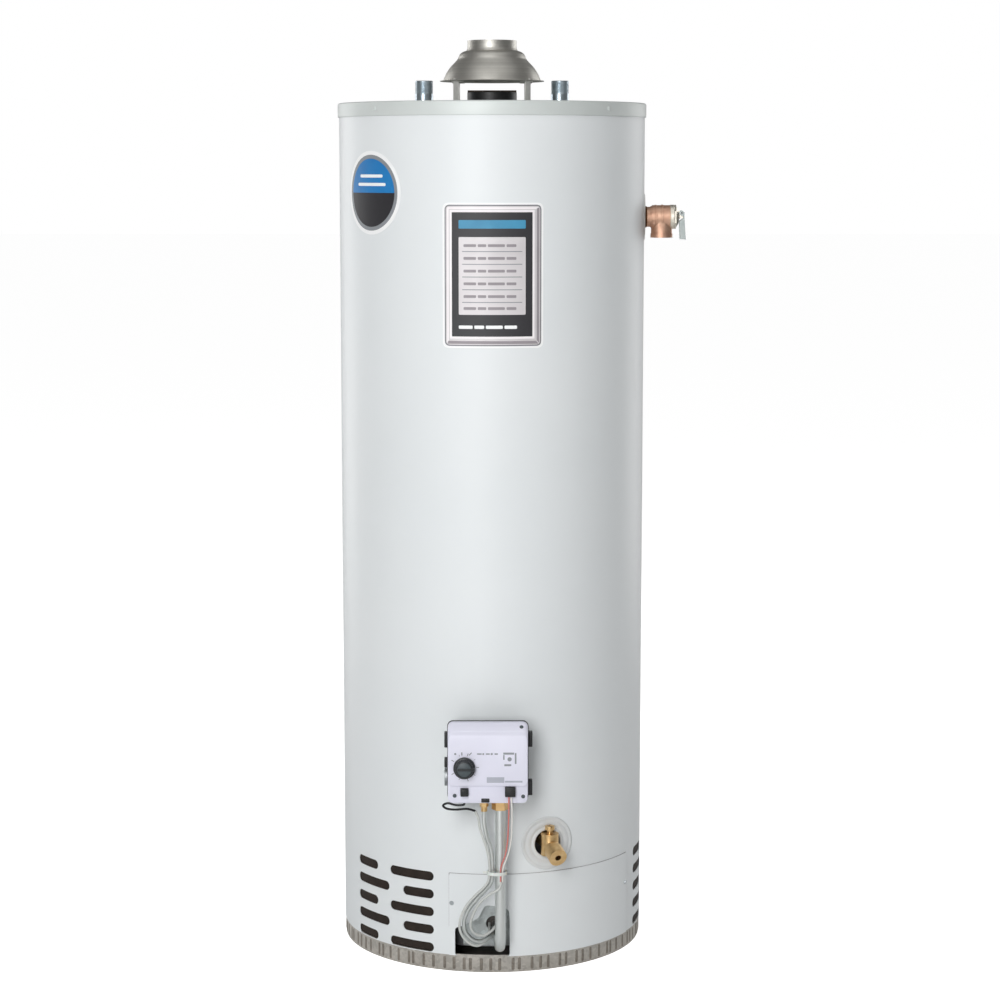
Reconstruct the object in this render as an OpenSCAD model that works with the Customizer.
// Gas-fired tank water heater with an atmospheric draft hood.
// Millimetres. +Z is up, the control side faces -Y, and the origin is on the
// tank axis at the floor. Angles round the tank are measured from the front
// (-Y), positive towards +X.

/* [Casing] */
// Outside diameter of the painted jacket
jacket_d = 457.2; // [430:1:560]
// Height of the top pan above the floor
body_h = 1270; // [1000:5:1600]
// Thickness of the jacket, pan and door sheet
sheet = 1; // [0.8:0.1:1.5]
// Height of the base ring that shows under the jacket
ring_h = 25; // [15:1:26]
// Depth of the top pan's skirt
skirt_h = 20.5; // [12:0.5:40]

/* [Tank] */
// Gap between the jacket's inside and the tank, filled with foam
foam = 24; // [18:1:40]
// Thickness of the tank's wall
tank_wall = 2.5; // [2:0.5:4]
// Height of the tank's lower seam above the floor
tank_low = 250; // [230:1:255]
// Outside radius of the flue tube
flue_r = 37; // [30:0.5:45]
// Height of the flue tube above the top pan
flue_up = 17; // [10:1:22]

/* [Water connections] */
// Distance between the two nipples' centres
nipple_gap = 203.2; // [190:0.1:230]
// Outside radius of a nipple's thread
nipple_r = 13.35; // [10:0.05:14]
// Height of a nipple above the top pan
nipple_up = 34; // [20:1:60]

/* [Draft hood] */
// Height of the hood's lip above the top pan
hood_gap = 33.5; // [30:0.5:50]
// Outside radius of the hood's lip
hood_lip_r = 78; // [76:0.5:95]
// Outside radius of the vent collar
collar_r = 37; // [36:0.5:45]
// Height of the vent collar's straight wall
collar_h = 15; // [12:1:40]

/* [Relief valve] */
// Height of the relief valve's centre below the top pan
relief_down = 168; // [120:1:300]
// Wall radius of the relief valve's outlet
relief_bore_r = 12.2; // [10:0.1:13]

/* [Drain valve] */
// Height of the drain valve above the floor
drain_z = 192.5; // [185:0.5:205]
// Angle of the drain valve round the tank
drain_a = 20.9; // [19:0.1:30]
// Outside radius of the hose thread
hose_r = 13.4; // [13:0.1:13.7]

/* [Gas control] */
// Height of the gas control's lower edge above the floor
control_z = 273; // [270:1:320]
// Width of the gas control's cover
control_w = 115; // [112:1:130]
// Height of the gas control
control_h = 116; // [112:1:130]
// Distance from the jacket to the cover's front
control_out = 71.4; // [68:0.1:80]
// Wall radius of the gas inlet's thread
gas_bore_r = 9.3; // [8:0.1:10]
// Outside radius of the burner supply tube
supply_r = 7.7; // [6:0.1:9]

/* [Hidden] */
$fn = 64;

// Clearances
slip = 0.2;     // between parts that sit against each other
run = 0.05;     // radial running fit of a moving shaft
eps = 1;        // overshoot of a cutting solid

// Casing
R = jacket_d / 2;
jacket_in = R - sheet;
pan_r = R + 2;
skirt_z = body_h - skirt_h;
jacket_top = body_h - sheet - slip;
ring_up = 10;           // part of the base ring tucked inside the jacket
slot_h = 14;
slot_pitch = 27;
slot_rows = 5;
slot_z = 33;
slot_run = 157;         // arc length of one group of air slots
slot_gap = 27;
slot_long = 77.5;
slot_groups = [-41.7, 89.3, 203.8];
seam_w = 18;            // jacket seam down the back

// Tank
tank_r = jacket_in - foam;
top_bow = 38;           // rise of the tank's heads
tank_top = body_h - 72; // upper seam
flue_wall = 2.5;
flue_top = body_h + flue_up;
spud_r = 17;
spud_h = 26;
spud_foot = tank_top + 12;
spud_bore = nipple_r - 0.45;
nipple_shank = nipple_r - 0.5; // hidden part of a nipple
dip_r = nipple_r - 3.6;
spud_top = spud_foot + spud_h;

// Relief valve
relief_z = body_h - relief_down;
relief_in = R + 12;     // end of the valve's threaded tail
relief_x = R + 26.5;    // axis of the outlet
relief_body_r = 17.5;
relief_len = 45;        // from the jacket to the bonnet
relief_low = relief_z - 31;
stem_r = 3;
bonnet_x = R + relief_len + slip;
lever_x = R + 56;       // pivot of the test lever
lever_z = relief_z + 6;
lever_t = 1.6;
ear_r = 2.7;            // rounding of the bonnet's ears
pin_r = 1.5;

// Drain valve, in its own radial frame
drain_tilt = 20;        // the outlet points below the horizontal
drain_hole = 20;        // radius of the hole in the escutcheon and jacket

// Gas control
ctl_x = -5.5;
ctl_front = -(R + control_out);
ctl_back = -(R + 10);
ctl_left = ctl_x - control_w / 2;
ctl_top = control_z + control_h;
cover_z = control_z + 25;
cover_t = 2;
body_w = control_w - 8;
shank_z = control_z + 58;
shank_r = 14;
inlet_z = control_z + 32;
inlet_y = ctl_back - 23;
inlet_r = 14;
knob_x = ctl_x - 33.5;
knob_z = control_z + 54;
knob_r = 15.8;
knob_t = 13;
knob_push = 3;
spindle_r = 4;
button_x = ctl_x - 33.5;
button_z = control_z + 17;
button_w = 11;

// Burner compartment
chamber_r = tank_r - 6;
chamber_z = 30;
chamber_top = tank_low - 34;
chamber_wall = 1.5;
supply_x = ctl_x + 17.8;
supply_y = ctl_back - 27;
supply_low = 46;
elbow_r = 20;
supply_swing = atan(supply_x / -supply_y);
burner_z = 100;
burner_r = 62;
pilot_x = ctl_x - 5.5;
pilot_y = supply_y;
tube_r = 3.2;
lead_r = 2;
igniter_r = 1.6;
wire_r = 1.1;
door_in = chamber_r + chamber_wall;
hatch_a0 = -12.2;
hatch_a1 = 24;
hatch_z = chamber_z + 2;
hatch_top = 163;
hatch_screws = [[-10.3, 157], [22.1, 157], [-10.3, 108], [22.1, 108]];
glass_a = 10;
glass_z = 132;
door_screw_z = 104;
door_a0 = -15.9;
door_a1 = 62;
door_top = 149;
arch_x0 = -54.5;        // arch in the outer door, as arc lengths
arch_x1 = 26;
arch_h = 103;
door_screw_a = [door_a0 + 1, door_a1 - 1.2];

// Routes of the tubes and leads, chosen by hand
pilot_route = [[-11, -266, 254], [-11, -266, 236], [-7, -266, 215], [-1, -266, 196],
  [0.4, -266, 178], [0.4, -266, 158], [-3, -264, 144], [-18, -260, 126], [-32, -257, 108],
  [-40, -254, 90], [-40, -250, 72], [-31, -246, 58], [-18, -242, 52], [-4, -236, 56],
  [2, -226, 61], [3, -212, 64], [3, -192, 66]];
igniter_route = [[-39, -288, 272.5], [-41, -288, 269], [-52, -287, 268.5], [-63, -286, 271],
  [-70, -284, 267], [-64, -283, 262], [-51, -282, 260.5], [-36, -280, 261], [-24, -276, 257],
  [-19, -272, 244], [-17, -270, 230], [-12, -270, 214], [-6, -271, 196], [-3.5, -271, 178],
  [-3.5, -271, 158], [-9, -269, 144], [-24, -265, 128], [-38, -262, 110], [-46, -259, 90],
  [-46, -254, 71], [-36, -249, 54], [-22, -244, 46], [-10, -236, 50], [-5, -224, 58],
  [-4, -210, 62], [-4, -192, 64]];
sensor_route = [[14, -276.5, 152], [10, -277, 141], [-4, -275, 132], [-18, -270, 118],
  [-27, -265, 100], [-31, -259, 82], [-26, -252, 68], [-14, -246, 62], [-2, -240, 66],
  [6, -230, 72], [9, -214, 73], [9, -192, 73]];
red_route = [[24.6, -299.5, 285], [24.6, -298, 262], [24, -291, 240], [23, -283, 216],
  [20, -278, 194], [14, -277, 176], [12.8, -276.6, 166], [12.8, -276.6, 150]];
white_route = [[28, -299.5, 285], [29, -297, 262], [29, -289, 240], [28, -281, 216],
  [24, -277, 194], [17.5, -276, 176], [15.6, -275.7, 166], [15.6, -275.7, 150]];

// A crown's outline from its seam up to the axis
function crown(r, bow, n = 12) =
  [for (i = [0:n]) let (a = 90 * i / n) [r * cos(a), bow * sin(a)]];

// A smooth curve through hand-chosen points
function curve_point(a, b, c, d, t) = 0.5 * ((2 * b) + (c - a) * t
  + (2 * a - 5 * b + 4 * c - d) * t * t + (3 * b - a - 3 * c + d) * t * t * t);
function smooth(p, steps = 2) = let (last = len(p) - 1) concat(
  [for (i = [0:last - 1], k = [0:steps - 1])
    curve_point(p[max(i - 1, 0)], p[i], p[i + 1], p[min(i + 2, last)], k / steps)],
  [p[last]]);
function unit(v) = v / norm(v);
function headings(p) = [for (i = [0:len(p) - 1])
  unit(p[min(i + 1, len(p) - 1)] - p[max(i - 1, 0)])];
function normals(t, n, i = 0) = i == len(t) ? [] :
  let (m = unit(n - (n * t[i]) * t[i])) concat([m], normals(t, m, i + 1));

// A round tube or lead swept along a route
module sweep(route, r, steps = 2, sides = 8) {
  p = smooth(route, steps);
  t = headings(p);
  n = normals(t, [1, 0.2, 0.1]);
  rings = [for (i = [0:len(p) - 1], k = [0:sides - 1]) let (a = 360 * k / sides)
    p[i] + r * cos(a) * n[i] + r * sin(a) * cross(t[i], n[i])];
  walls = [for (i = [0:len(p) - 2], k = [0:sides - 1]) let (j = (k + 1) % sides)
    [i * sides + k, (i + 1) * sides + k, (i + 1) * sides + j, i * sides + j]];
  ends = [[for (k = [0:sides - 1]) k], [for (k = [sides - 1:-1:0]) (len(p) - 1) * sides + k]];
  polyhedron(rings, concat(walls, ends));
}

// Turns +X to point outwards at an angle round the tank
module outward(a) { rotate([0, 0, a - 90]) children(); }

module ring(r_out, r_in, z0, z1) {
  difference() {
    translate([0, 0, z0]) cylinder(r = r_out, h = z1 - z0);
    translate([0, 0, z0 - eps]) cylinder(r = r_in, h = z1 - z0 + 2 * eps);
  }
}

module disc(r, z0, z1) { translate([0, 0, z0]) cylinder(r = r, h = z1 - z0); }

// A cylinder pointing outwards between two distances from the axis
module spoke(r, from, to, a = 0, z = 0) {
  outward(a) translate([from, 0, z]) rotate([0, 90, 0]) cylinder(r = r, h = to - from);
}

// A piece of a round wall between two angles
module wall(r_out, r_in, z0, z1, a0, a1) {
  rotate([0, 0, a0 - 90]) rotate_extrude(angle = a1 - a0, $fn = 128)
    translate([r_in, z0]) square([r_out - r_in, z1 - z0]);
}

// A flat ring bent round the jacket
module curved_disc(r, hole, rise, a, z) {
  difference() {
    intersection() {
      ring(R + rise, R + 0.1, z - r - eps, z + r + eps);
      spoke(r, R / 2, R + 20, a, z);
    }
    spoke(hole, R / 2, R + 30, a, z);
  }
}

function arc_angle(length) = length / R * 180 / PI;

// Cutter for an air slot with round ends, from arc length s0 to s1 past angle a
module slot_cut(a, s0, s1, z) {
  half = R * sin(arc_angle(s1 - s0) / 2) - slot_h / 2;
  outward(a + arc_angle((s0 + s1) / 2)) translate([R - 15, 0, z]) rotate([90, 0, 90])
    linear_extrude(20) {
      square([2 * half, slot_h], center = true);
      for (end = [-half, half]) translate([end, 0]) circle(r = slot_h / 2);
    }
}

module slot_group(middle) {
  start = middle - arc_angle(slot_run / 2);
  for (row = [0:slot_rows - 1]) {
    z = slot_z + row * slot_pitch;
    first = row % 2 == 0 ? slot_run - slot_long - slot_gap : slot_long;
    slot_cut(start, 0, first, z);
    slot_cut(start, first + slot_gap, slot_run, z);
  }
}

// Outline of the tank, outside, from its flat seam levels
module tank_profile(grow = 0) {
  polygon(concat([[0, tank_low]],
    [[tank_r + grow, tank_low], [tank_r + grow, tank_top]],
    [for (p = crown(tank_r + grow, top_bow + grow)) [p[0], tank_top + p[1]]]));
}

// The casing

module base_ring() {
  color("#8e8a84") ring(jacket_in - slip, jacket_in - slip - 1.2, 0, ring_h + ring_up);
}

module bottom_pan() {
  r = jacket_in - slip - 1.2 - slip;
  color("#9a9a98") {
    disc(r, 0, 1.2);
    ring(r, r - 1.2, 0, 12);
  }
}

module jacket() {
  color("#e6e9e8") difference() {
    union() {
      ring(R, jacket_in, ring_h, jacket_top);
      wall(R + 0.8, jacket_in + 0.3, ring_h, skirt_z - slip, 180 - arc_angle(seam_w / 2),
        180 + arc_angle(seam_w / 2));
    }
    for (middle = slot_groups) slot_group(middle);
    spoke(relief_body_r, jacket_in - 5, R + 5, 90, relief_z);
    spoke(drain_hole, jacket_in - 5, R + 5, drain_a, drain_z);
    translate([ctl_x, 0, shank_z]) spoke(shank_r + 2, R - 20, R + 5);
    wall(R + 5, jacket_in - 5, ring_h - eps, door_top - 20, door_a0 + 2.2, door_a1 - 30);
    for (a = door_screw_a) spoke(1.8, jacket_in - 5, R + 5, a, door_screw_z);
  }
}

module top_pan() {
  color("#c9cdce") difference() {
    union() {
      disc(pan_r, body_h - sheet, body_h);
      ring(pan_r, pan_r - sheet, skirt_z, body_h);
    }
    for (side = [-1, 1]) translate([side * nipple_gap / 2, 0, 0])
      disc(nipple_r + 3, body_h - 5, body_h + 5);
    disc(flue_r + 1.5, body_h - 5, body_h + 5);
  }
}

module pan_screws() {
  color("#b9bdbe") for (a = [-133, -47, 47, 133]) {
    spoke(3.6, pan_r, pan_r + 1.6, a, skirt_z + skirt_h / 2);
    spoke(1.6, jacket_in - 6, pan_r + 0.4, a, skirt_z + skirt_h / 2);
  }
}

module insulation() {
  color("#e2cf8a") difference() {
    disc(jacket_in - 0.3, tank_low - 20, body_h - sheet - 0.5);
    rotate_extrude($fn = 96) tank_profile(0.3);
    disc(tank_r + 0.3, tank_low - 30, tank_low + 1);
    disc(flue_r + 6, tank_top, body_h + 5);
    for (side = [-1, 1]) translate([side * nipple_gap / 2, 0, 0])
      disc(spud_r + 0.5, tank_top, body_h + 5);
    spoke(spud_r + 4, tank_r - 20, R + 5, 90, relief_z);
    translate([ctl_x, 0, shank_z]) spoke(spud_r + 4, tank_r - 20, R + 5);
    for (a = [-47, 47, -133, 133])
      spoke(3, jacket_in - 8, R + 5, a, skirt_z + skirt_h / 2);
  }
}

// The tank

module tank_shell() {
  color("#4a5a6a") difference() {
    ring(tank_r, tank_r - tank_wall, tank_low, tank_top);
    spoke(13.5, tank_r - 20, tank_r + 5, 90, relief_z);
    translate([ctl_x, 0, shank_z]) spoke(13.5, tank_r - 30, tank_r + 5);
  }
}

// A dished head that plugs an end of the shell
module tank_head(z, bow) {
  inner = tank_r - tank_wall - 0.1;
  difference() {
    rotate_extrude($fn = 96) polygon(concat([[0, z]], [[inner, z]],
      [for (p = crown(inner, bow)) [p[0], z + p[1]]]));
    rotate_extrude($fn = 96) polygon(concat([[0, z - eps]], [[inner - tank_wall, z - eps]],
      [for (p = crown(inner - tank_wall, bow - tank_wall)) [p[0], z + p[1]]]));
    disc(flue_r + 0.05, z - 5, z + bow + 5);
  }
}

module tank_top_head() {
  color("#4a5a6a") difference() {
    tank_head(tank_top - 6, top_bow);
    for (side = [-1, 1]) translate([side * nipple_gap / 2, 0, 0])
      disc(spud_r + 0.1, tank_top - 5, body_h);
  }
}

module tank_bottom_head() { color("#4a5a6a") tank_head(tank_low + 1, top_bow - 8); }

module flue_tube() {
  color("#1c1c1e") ring(flue_r, flue_r - flue_wall, tank_low + top_bow - 20, flue_top);
}

module flue_baffle() {
  w = 2 * (flue_r - flue_wall) - 2;
  low = tank_low + 90;
  tabs = floor((body_h - 60 - low) / 70);
  color("#6a6460") {
    translate([-w / 2, -0.75, low]) cube([w, 1.5, flue_top + 3 - low]);
    translate([-flue_r + 0.5, -0.75, flue_top]) cube([2 * flue_r - 1, 1.5, 3]);
    for (i = [0:tabs - 1]) translate([0, 0, low + 30 + i * 70])
      rotate([i % 2 == 0 ? 50 : -50, 0, 0]) translate([-w / 4, -14, -0.75])
        cube([w / 2, 28, 1.5]);
  }
}

module tank_spuds() {
  color("#6d7276") {
    for (side = [-1, 1]) translate([side * nipple_gap / 2, 0, 0])
      ring(spud_r, spud_bore, spud_foot, spud_top);
    difference() {
      spoke(spud_r, tank_r + 0.1, tank_r + 16, 90, relief_z);
      spoke(13.25, tank_r - 5, tank_r + 20, 90, relief_z);
    }
    translate([ctl_x, 0, shank_z]) difference() {
      spoke(spud_r, tank_r + 1, tank_r + 14);
      spoke(13.05, tank_r - 5, tank_r + 20);
    }
  }
}

// The draft hood, a spun bell on four legs

lip_z = body_h + hood_gap;
hood_wall = 0.9;
hood_rim = hood_lip_r - 5;
hood_line = [[hood_lip_r, 0], [hood_rim, 0.6], [hood_rim - 4, 10], [hood_rim - 10, 19.5],
  [hood_rim - 17, 27], [hood_rim - 22, 33], [hood_rim - 25, 39.5], [hood_rim - 28.5, 42.8],
  [collar_r, 44.5], [collar_r, 44.5 + collar_h]];

module draft_hood() {
  inner = [for (i = [len(hood_line) - 1:-1:0]) [hood_line[i][0] - (i == 0 ? 0 : hood_wall),
    hood_line[i][1] - (i > 0 && i < len(hood_line) - 1 ? hood_wall : 0)]];
  color("#a9a8a2") translate([0, 0, lip_z]) rotate_extrude($fn = 96)
    polygon(concat(hood_line, [for (i = [0:len(inner) - 2]) inner[i]],
      [[hood_lip_r, -hood_wall]]));
}

leg_a = [-131, -49, 49, 131];
leg_w = 12;
leg_r = hood_rim - 1.2;

module hood_legs() {
  color("#b4b3ae") for (a = leg_a) outward(a) {
    translate([leg_r - 2.2, -leg_w / 2, body_h]) cube([1.2, leg_w, hood_gap - hood_wall]);
    translate([leg_r - 2.2, -leg_w / 2, body_h]) cube([14, leg_w, 1.2]);
    translate([leg_r - 12, -leg_w / 2, lip_z - hood_wall - 1.2]) cube([15, leg_w, 1.2]);
  }
}

module hood_fasteners() {
  color("#c8c8c4") for (a = leg_a) outward(a) {
    translate([leg_r + 7, 0, body_h + 1.2]) cylinder(r = 3.2, h = 2);
    translate([leg_r + 7, 0, body_h - 6]) cylinder(r = 1.4, h = 8);
    translate([leg_r + 1.2, 0, lip_z - hood_wall - 2.6]) cylinder(r = 2, h = 5);
  }
}

// Water connections

module nipple(side) {
  difference() {
    translate([side * nipple_gap / 2, 0, 0]) {
      disc(nipple_r, body_h + 2, body_h + nipple_up - 1.2);
      disc(nipple_shank, spud_foot + 4, body_h + 2);
      translate([0, 0, body_h + nipple_up - 1.2]) cylinder(r1 = nipple_r, r2 = nipple_r - 1.2, h = 1.2);
    }
    translate([side * nipple_gap / 2, 0, 0]) disc(nipple_r - 2.9, spud_foot, body_h + 100);
  }
}

module cold_nipple() { color("#8fa3ad") nipple(1); }

module hot_nipple() { color("#8fa3ad") nipple(-1); }

module nipple_liners() {
  color("#dfe4e2") for (side = [-1, 1]) translate([side * nipple_gap / 2, 0, 0])
    ring(nipple_r - 3, nipple_r - 4.4, spud_foot + 6, body_h + nipple_up - 2);
}

module dip_tube() {
  color("#d8d5c8") translate([nipple_gap / 2, 0, 0]) {
    ring(dip_r, dip_r - 1.4, tank_low + 90, spud_foot + 2);
    ring(spud_bore - slip, dip_r - 1.4, spud_foot + 2, spud_foot + 3.6);
  }
}

module anode_rod() {
  color("#9b9c9a") translate([-nipple_gap / 2, 0, 0]) {
    disc(9, tank_low + 160, spud_foot + 2);
    ring(spud_bore - slip, 8, spud_foot + 1.4, spud_foot + 3.6);
  }
}

// The relief valve on the right-hand side

module relief_valve_body() {
  color("#b98a63") difference() {
    union() {
      spoke(13.2, tank_r + 1, R + 6, 90, relief_z);
      spoke(15, R - 1, R + 13, 90, relief_z);
      spoke(relief_body_r, relief_in, R + relief_len, 90, relief_z);
      translate([relief_x, 0, 0]) disc(15.8, relief_low, relief_z);
      translate([relief_x, 0, 0]) disc(16.6, relief_low, relief_low + 6);
    }
    translate([relief_x, 0, 0]) disc(relief_bore_r, relief_low - eps, relief_low + 15);
    translate([relief_x, 0, 0]) disc(9, relief_low, relief_z);
    spoke(8, tank_r - 5, relief_in + 2, 90, relief_z);
    spoke(12, relief_in + 4, R + relief_len + eps, 90, relief_z);
    spoke(6, relief_in, relief_in + 8, 90, relief_z);
  }
}

module relief_bonnet() {
  color("#d9d2c6") difference() {
    union() {
      translate([bonnet_x, 0, relief_z]) rotate([0, 90, 0]) {
        cylinder(r = 18, h = 3, $fn = 6);
        translate([0, 0, 3]) cylinder(r1 = 16, r2 = 9.5, h = 3.8);
        translate([0, 0, -8]) cylinder(r = 11.7, h = 8.5);
      }
      for (s = [-4.4, 4.4]) translate([lever_x, s - 0.8, lever_z]) {
        translate([-5, 0, -8]) cube([5 + ear_r, 1.6, 8]);
        translate([-5, 0, -1]) cube([5, 1.6, 1 + ear_r]);
        rotate([-90, 0, 0]) cylinder(r = ear_r, h = 1.6);
      }
    }
    spoke(stem_r + run, R + 20, R + 70, 90, relief_z);
    spoke(9, R + 20, R + relief_len - 2, 90, relief_z);
    translate([lever_x, -10, lever_z]) rotate([-90, 0, 0]) cylinder(r = pin_r, h = 20);
  }
}

module relief_stem() {
  color("#c9a46a") {
    spoke(stem_r, relief_in + 10, R + 54, 90, relief_z);
    spoke(10.5, relief_in + 8.2, relief_in + 11, 90, relief_z);
  }
}

module relief_spring() {
  turns = 6;
  from = relief_in + 12.3;
  to = R + relief_len - 3.3;
  points = [for (i = [0:turns * 10]) let (a = i * 36)
    [from + (to - from) * i / (turns * 10), 7 * cos(a), relief_z + 7 * sin(a)]];
  color("#9fa3a5") sweep(points, 1.1, 1);
}

module relief_probe() {
  color("#b07a4e") {
    spoke(3, nipple_gap / 2 + dip_r + 2.25, relief_in + 1, 90, relief_z);
    spoke(7.6, tank_r + 3, tank_r + 6, 90, relief_z);
  }
}

module relief_escutcheon() {
  color("#e6e6e2") curved_disc(34.5, 15.4, 1.8, 90, relief_z);
}

module lever_pin() {
  color("#9fa3a5") translate([lever_x, -8.5, lever_z]) rotate([-90, 0, 0]) cylinder(r = pin_r, h = 17);
}

// A folded strip: two ears on the pin, a web outside them and a long tail hanging down
module test_lever() {
  color("#8b928e") translate([lever_x, 0, lever_z]) difference() {
    union() {
      for (s = [-6.1, 6.1]) translate([0, s - 0.6, 0]) {
        rotate([-90, 0, 0]) cylinder(r = 3.6, h = 1.2);
        translate([0, 0, -5]) cube([3.5, 1.2, 6]);
      }
      translate([3, -7, -9]) cube([lever_t, 14, 10]);
      translate([3, -7, -8]) rotate([0, -4, 0]) translate([0, 0, -32]) cube([lever_t, 14, 33]);
    }
    translate([0, -12, 0]) rotate([-90, 0, 0]) cylinder(r = pin_r + run, h = 24);
  }
}

// The drain valve, in a frame that points outwards at its own angle

module at_drain() { outward(drain_a) translate([0, 0, drain_z]) children(); }

module drain_escutcheon() {
  color("#d6d8d8") curved_disc(40, drain_hole, 2, drain_a, drain_z);
}

drain_x = R + 9;        // axis of the drain valve's seat chamber
outlet_len = 20;

module drain_valve_body() {
  color("#c39a62") at_drain() difference() {
    union() {
      translate([tank_r + 1, 0, 0]) rotate([0, 90, 0]) cylinder(r = 9, h = R - tank_r);
      translate([drain_x, 0, -15]) cylinder(r = 13, h = 32);
      translate([drain_x, 0, 0]) rotate([0, 90 + drain_tilt, 0]) translate([0, 0, 2])
        cylinder(r = 11, h = 14);
      translate([drain_x, 0, 0]) rotate([0, 90 + drain_tilt, 0]) translate([0, 0, 15])
        cylinder(r = hose_r, h = outlet_len);
    }
    translate([tank_r - 5, 0, 0]) rotate([0, 90, 0]) cylinder(r = 5, h = R - tank_r + 8);
    translate([drain_x, 0, -6]) cylinder(r = 9.5, h = 17);
    translate([drain_x, 0, 8]) cylinder(r = 4 + run, h = 30);
    translate([drain_x, 0, 0]) rotate([0, 90 + drain_tilt, 0]) translate([0, 0, 6])
      cylinder(r = 4.5, h = 60);
  }
}

module drain_washer() {
  color("#303030") at_drain() translate([drain_x, 0, -5.6]) cylinder(r = 8.6, h = 3);
}

module drain_stem() {
  color("#caa56c") at_drain() difference() {
    union() {
      translate([drain_x, 0, -2.4]) cylinder(r = 4, h = 27);
      translate([drain_x, 0, 22]) cylinder(r = 7, h = 6);
    }
    translate([drain_x - 8, -0.8, 25.6]) cube([16, 1.6, 4]);
  }
}

// The burner compartment

module combustion_chamber() {
  color("#77777a") difference() {
    union() {
      ring(chamber_r, chamber_r - chamber_wall, chamber_z, chamber_top);
      disc(chamber_r, chamber_z, chamber_z + chamber_wall);
    }
    disc(72.5, chamber_z - 5, chamber_z + 5);
    wall(chamber_r + 5, chamber_r - 10, chamber_z + 7.5, 148, hatch_a0 + 4.2, hatch_a1 - 4);
    for (p = hatch_screws) spoke(2.1, chamber_r - 10, chamber_r + 5, p[0], p[1]);
  }
}

module flame_arrestor() {
  color("#8a8580") difference() {
    union() {
      disc(78, chamber_z + chamber_wall, chamber_z + chamber_wall + 1);
      disc(72, chamber_z - 2, chamber_z + chamber_wall + 0.5);
    }
    for (i = [1:5], k = [0:6 * i - 1]) rotate([0, 0, k * 60 / i])
      translate([i * 12, 0, chamber_z - 5]) cylinder(r = 2.5, h = 12, $fn = 16);
  }
}

module burner() {
  color("#5d5c5a") difference() {
    union() {
      disc(burner_r, burner_z, burner_z + 10);
      disc(burner_r - 14, burner_z + 10, burner_z + 16);
      disc(14, burner_z - 12, burner_z + 2);
      for (k = [90, 210, 330]) rotate([0, 0, k]) {
        translate([burner_r - 4, -3, burner_z]) cube([34, 6, 2]);
        translate([burner_r + 28, -3, chamber_z + chamber_wall])
          cube([2, 6, burner_z + 2 - chamber_z - chamber_wall]);
      }
    }
    disc(burner_r - 1.5, burner_z + 1.5, burner_z + 8.5);
    disc(11, burner_z - 14, burner_z + 3);
    for (k = [0:35]) rotate([0, 0, k * 10]) translate([burner_r - 8, 0, burner_z + 5])
      cylinder(r = 1.6, h = 10, $fn = 16);
  }
}

module burner_orifice() {
  color("#c8a45e") difference() {
    disc(supply_r + 1.5, burner_z - 22, burner_z - 14);
    disc(supply_r + 0.05, burner_z - 23, burner_z - 18);
    disc(1, burner_z - 30, burner_z);
  }
}

// A quarter bend of the supply tube in its own upright plane
module bend(r, start) {
  rotate([90, 0, 90]) rotate([0, 0, start]) rotate_extrude(angle = 90)
    translate([elbow_r, 0]) circle(r = r, $fn = 32);
}

// Down from the gas control, in under the burner and up to its orifice
module supply_path(r, over = 0) {
  reach = norm([supply_x, supply_y]);
  bend_z = supply_low + elbow_r;
  translate([supply_x, supply_y, 0]) rotate([0, 0, supply_swing]) {
    translate([0, 0, bend_z]) cylinder(r = r, h = control_z - 4 + over - bend_z);
    translate([0, elbow_r, bend_z]) bend(r, 180);
    translate([0, elbow_r, supply_low]) rotate([-90, 0, 0])
      cylinder(r = r, h = reach - 2 * elbow_r);
    translate([0, reach - elbow_r, bend_z]) bend(r, 270);
    translate([0, reach, bend_z]) cylinder(r = r, h = burner_z - 18.2 + over - bend_z);
  }
}

module supply_tube() {
  color("#b8bbba") difference() {
    supply_path(supply_r);
    supply_path(supply_r - 1.2, eps);
  }
}

// A hexagonal nut round an upright tube
module hex_nut(across, r, z0, z1) {
  difference() {
    translate([0, 0, z0]) cylinder(r = across / sqrt(3), h = z1 - z0, $fn = 6);
    translate([0, 0, z0 - eps]) cylinder(r = r, h = z1 - z0 + 2 * eps);
  }
}

module supply_nut() {
  color("#a9adad") translate([supply_x, supply_y, 0])
    hex_nut(22, supply_r + 0.05, control_z - 16, control_z - 2.2);
}

module pilot_nut() {
  color("#c39a52") translate([pilot_x, pilot_y, 0]) {
    hex_nut(11, tube_r - 1, control_z - 12, control_z - 2.2);
    ring(4.6, tube_r - 1, control_z - 19, control_z - 11);
  }
}

module pilot_tube() { color("#b9bcba") sweep(pilot_route, tube_r); }

module igniter_lead() { color("#26262a") sweep(igniter_route, igniter_r); }

module sensor_lead() { color("#c4c6c2") sweep(sensor_route, lead_r); }

module sensor_wires() {
  color("#c4392f") sweep(red_route, wire_r);
  color("#ecebe6") sweep(white_route, wire_r);
}

module pilot_burner() {
  front = -(chamber_r - 8);
  color("#8d9092") difference() {
    union() {
      translate([-8, front, 58]) cube([20, 3, 20]);
      translate([-1, front, 66]) cube([8, -front - burner_r - 12, 2]);
      translate([-3, -burner_r - 18, 66]) cube([12, 8, burner_z - 50]);
      translate([3, -burner_r - 14, burner_z + 10]) cylinder(r = 5, h = 14);
    }
    translate([3, -burner_r - 14, burner_z + 17]) cylinder(r = 3.8, h = 10);
  }
}

module tie_outline(r) {
  square([6, 2 * r], center = true);
  for (x = [-3, 3]) translate([x, 0]) circle(r = r);
}

module cable_tie() {
  tie_r = supply_r + 2.95;
  color("#dfe0da") translate([supply_x - 4.8, supply_y - 2.3, control_z - 112])
    linear_extrude(5) difference() {
      tie_outline(tie_r + 1.2);
      tie_outline(tie_r);
    }
}

module wire_plug() {
  color("#1b1b1d") translate([ctl_x + 24.5, ctl_front - 3, control_z + 11]) cube([15, 6.8, 14]);
}

// Doors

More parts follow.
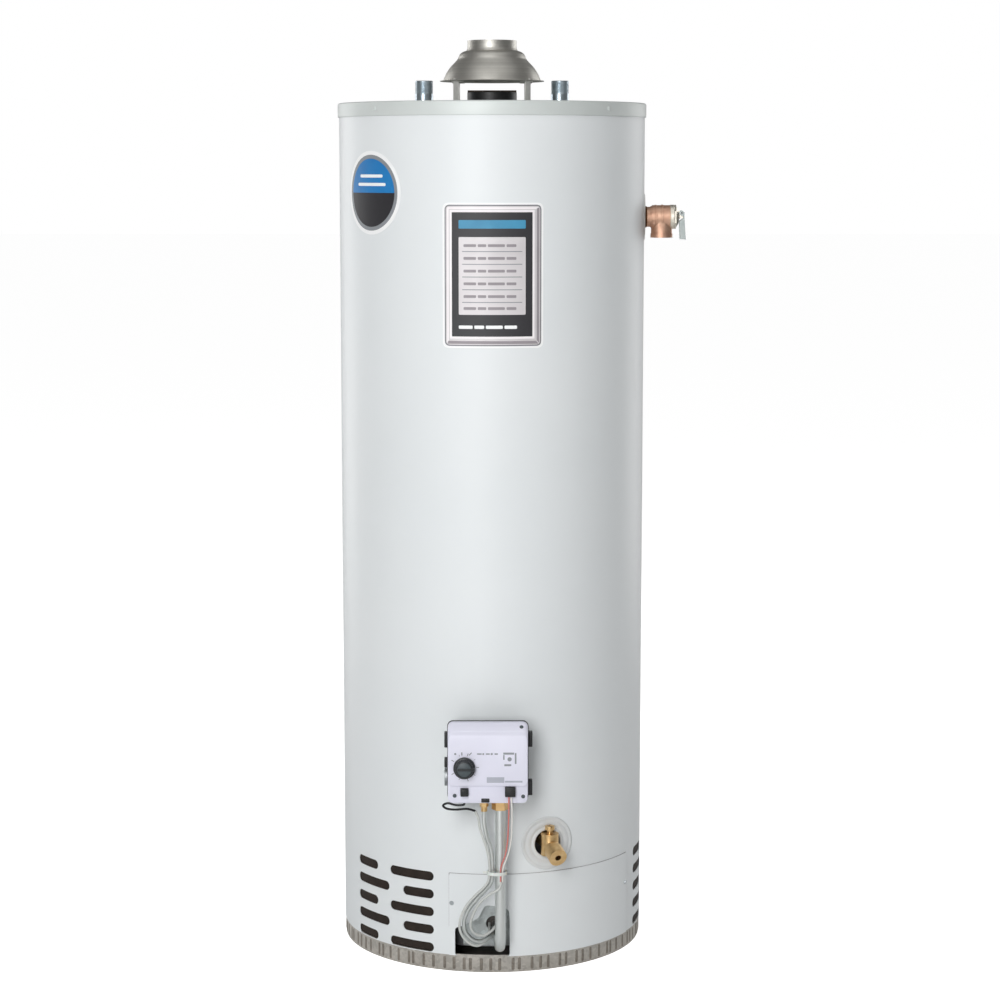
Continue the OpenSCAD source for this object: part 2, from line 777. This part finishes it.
module inner_door() {
  color("#a7a8a4") difference() {
    wall(door_in + 1.4, door_in + 0.2, hatch_z, hatch_top, hatch_a0, hatch_a1);
    spoke(supply_r + 0.4, door_in - 10, door_in + 10, supply_swing, supply_low);
    spoke(11.5, door_in - 10, door_in + 10, 0.8, 66.5);
    spoke(14, door_in - 10, door_in + 10, glass_a, glass_z);
    for (p = hatch_screws) spoke(2.6, door_in - 10, door_in + 10, p[0], p[1]);
  }
}

module inner_door_gasket() {
  color("#3a3a3a") difference() {
    wall(door_in + 0.1, chamber_r + 0.1, hatch_z, hatch_top - 1, hatch_a0 + 0.5, hatch_a1 - 0.5);
    wall(door_in + 5, chamber_r - 5, chamber_z + 7.3, 149, hatch_a0 + 4, hatch_a1 - 3.8);
    for (p = hatch_screws) spoke(2.1, chamber_r - 5, door_in + 5, p[0], p[1]);
  }
}

module sight_glass() {
  color("#9fb7b4") {
    spoke(13.8, door_in - 1, door_in + 2, glass_a, glass_z);
    spoke(17, door_in + 1.5, door_in + 3.4, glass_a, glass_z);
  }
}

module inner_door_screws() {
  color("#b3b6b6") for (p = hatch_screws) {
    spoke(4.6, door_in + 1.5, door_in + 4.5, p[0], p[1]);
    spoke(2, chamber_r - 6, door_in + 2, p[0], p[1]);
  }
}

// Outline of the arch, unrolled: arc length along X, height along Y
arch_line = [[arch_x0, 0], [arch_x1, 0], [arch_x1, arch_h - 23], [arch_x1 - 1, arch_h - 8],
  [arch_x1 - 10, arch_h - 2], [-10, arch_h], [-20, arch_h - 20], [arch_x0 + 10, arch_h - 33],
  [arch_x0, arch_h - 36]];

module outer_door() {
  color("#e3e6e5") difference() {
    wall(R + 1.2, R + 0.2, ring_h, door_top, door_a0, door_a1);
    rotate([90, 0, 0]) translate([0, 0, R - 60]) linear_extrude(100)
      polygon([for (p = arch_line) [R * sin(arc_angle(p[0])), p[1]]]);
    for (a = door_screw_a) spoke(1.8, R - 5, R + 5, a, door_screw_z);
  }
}

module outer_door_screws() {
  color("#b9bdbe") for (a = door_screw_a) {
    spoke(3.4, R + 1.3, R + 3, a, door_screw_z);
    spoke(1.7, jacket_in - 8, R + 1.8, a, door_screw_z);
  }
}

// The gas control

// Side outline of the cover, drawn in by t
function cover_line(t) = [[ctl_front + 24, control_z + t], [ctl_front + 6 + t, control_z + t],
  [ctl_front + 4 + t, control_z + 2 + t], [ctl_front + 4 + t, cover_z + t],
  [ctl_front + t, cover_z + 2 + t], [ctl_front + t, ctl_top - 16 - t * 0.4],
  [ctl_front + 15 + t * 0.4, ctl_top - t], [ctl_front + 24, ctl_top - t]];

// An upright outline drawn as [y, z] points, pulled out along X from x0 to x1
module sideways(x0, x1) {
  translate([x0, 0, 0]) rotate([90, 0, 90]) linear_extrude(x1 - x0) children();
}

module control_cover() {
  right = ctl_left + control_w;
  color("#dcdce8") difference() {
    sideways(ctl_left, right) polygon(cover_line(0));
    sideways(ctl_left + cover_t, right - cover_t)
      polygon(concat(cover_line(cover_t), [[ctl_front + 25, ctl_top - cover_t],
        [ctl_front + 25, control_z + cover_t]]));
    translate([knob_x, ctl_front - 5, knob_z]) rotate([-90, 0, 0])
      cylinder(r = spindle_r + 0.3, h = 20);
    translate([button_x - button_w / 2 - 0.4, ctl_front - 5, button_z - button_w / 2 - 0.4])
      cube([button_w + 0.8, 20, button_w + 0.8]);
  }
}

module control_body() {
  x0 = ctl_left + (control_w - body_w) / 2;
  front = ctl_front + 24.2;
  color("#a3a6a8") difference() {
    union() {
      translate([x0, front, control_z + 3]) cube([body_w, ctl_back - front, control_h - 10]);
      translate([ctl_left - 5, inlet_y, inlet_z]) rotate([0, 90, 0])
        cylinder(r = inlet_r, h = 25);
      translate([supply_x, supply_y, control_z - 2]) cylinder(r = 10, h = 8);
      translate([pilot_x, pilot_y, control_z - 2]) cylinder(r = 7, h = 8);
      translate([ctl_x, ctl_back - 2, shank_z]) rotate([-90, 0, 0]) cylinder(r = 20, h = 8);
    }
    translate([ctl_left - 6, inlet_y, inlet_z]) rotate([0, 90, 0])
      cylinder(r = gas_bore_r, h = 21);
    translate([knob_x, front - 5, knob_z]) rotate([-90, 0, 0])
      cylinder(r = spindle_r + run, h = 25);
    translate([button_x - 3.1, front - 1, button_z - 3.1]) cube([6.2, 14, 6.2]);
    translate([ctl_x, ctl_back - 12, shank_z]) rotate([-90, 0, 0])
      cylinder(r = shank_r - 1, h = 30);
    translate([supply_x, supply_y, control_z - 5]) cylinder(r = supply_r + 0.05, h = 11);
    translate([pilot_x, pilot_y, control_z - 5]) cylinder(r = 2.2, h = 16);
  }
}

module control_clips() {
  right = ctl_left + control_w;
  y = ctl_front + 20;
  color("#232326") {
    for (z = [ctl_top - 38, control_z + 49]) translate([ctl_left - 5, y, z])
      cube([4.9, 12, z > control_z + 60 ? 22 : 13]);
    for (z = [ctl_top - 37, control_z + 8]) translate([right + 0.1, y, z]) cube([6.4, 12, 22]);
  }
}

module control_shank() {
  color("#a9793f") translate([ctl_x, 0, shank_z]) {
    spoke(shank_r - 1.05, tank_r - 4, -ctl_back + 11.5);
    spoke(6, flue_r + 45, tank_r - 3);
  }
}

module knob_spindle() {
  color("#88898b") translate([knob_x, ctl_front - 14, knob_z]) rotate([-90, 0, 0])
    cylinder(r = spindle_r, h = 52);
}

module temperature_knob() {
  back = ctl_front - knob_push - 1;
  color("#3c3d40") translate([knob_x, back, knob_z]) rotate([90, 0, 0]) difference() {
    union() {
      cylinder(r = knob_r, h = 4);
      cylinder(r = knob_r - 3, h = knob_t);
      translate([0, -2.2, 0]) cube([knob_r - 0.5, 4.4, knob_t]);
    }
    translate([0, 0, -1]) cylinder(r = spindle_r + run, h = 12);
  }
}

module igniter_button() {
  front = ctl_front - 3;
  color("#1f1f22") {
    translate([button_x - button_w / 2, front, button_z - button_w / 2])
      cube([button_w, 12, button_w]);
    translate([button_x - 3, front + 11, button_z - 3]) cube([6, 21.5, 6]);
  }
}

// Stickers: the nameplate on the front and the round badge beside it

module labels() {
  plate_z = body_h - 349.5;
  plate_h = 206;
  badge_r = 60;
  badge_a = -49.7;
  badge_z = body_h - 130.5;
  color("#3d4043") wall(R + 0.4, R + 0.06, plate_z, plate_z + plate_h, -arc_angle(70.6),
    arc_angle(74.7));
  color("#3f86c4") intersection() {
    ring(R + 0.4, R + 0.06, badge_z - badge_r - eps, badge_z + badge_r + eps);
    spoke(badge_r, R / 2, R + 20, badge_a, badge_z);
  }
}

base_ring();
bottom_pan();
jacket();
top_pan();
pan_screws();
insulation();
tank_shell();
tank_top_head();
tank_bottom_head();
flue_tube();
flue_baffle();
tank_spuds();
draft_hood();
hood_legs();
hood_fasteners();
cold_nipple();
hot_nipple();
nipple_liners();
dip_tube();
anode_rod();
relief_valve_body();
relief_bonnet();
relief_stem();
relief_spring();
relief_probe();
relief_escutcheon();
lever_pin();
test_lever();
drain_escutcheon();
drain_valve_body();
drain_washer();
drain_stem();
combustion_chamber();
flame_arrestor();
burner();
burner_orifice();
supply_tube();
supply_nut();
pilot_tube();
pilot_nut();
pilot_burner();
sensor_lead();
sensor_wires();
wire_plug();
igniter_lead();
cable_tie();
inner_door();
inner_door_gasket();
sight_glass();
inner_door_screws();
outer_door();
outer_door_screws();
control_body();
control_cover();
control_clips();
control_shank();
knob_spindle();
temperature_knob();
igniter_button();
labels();
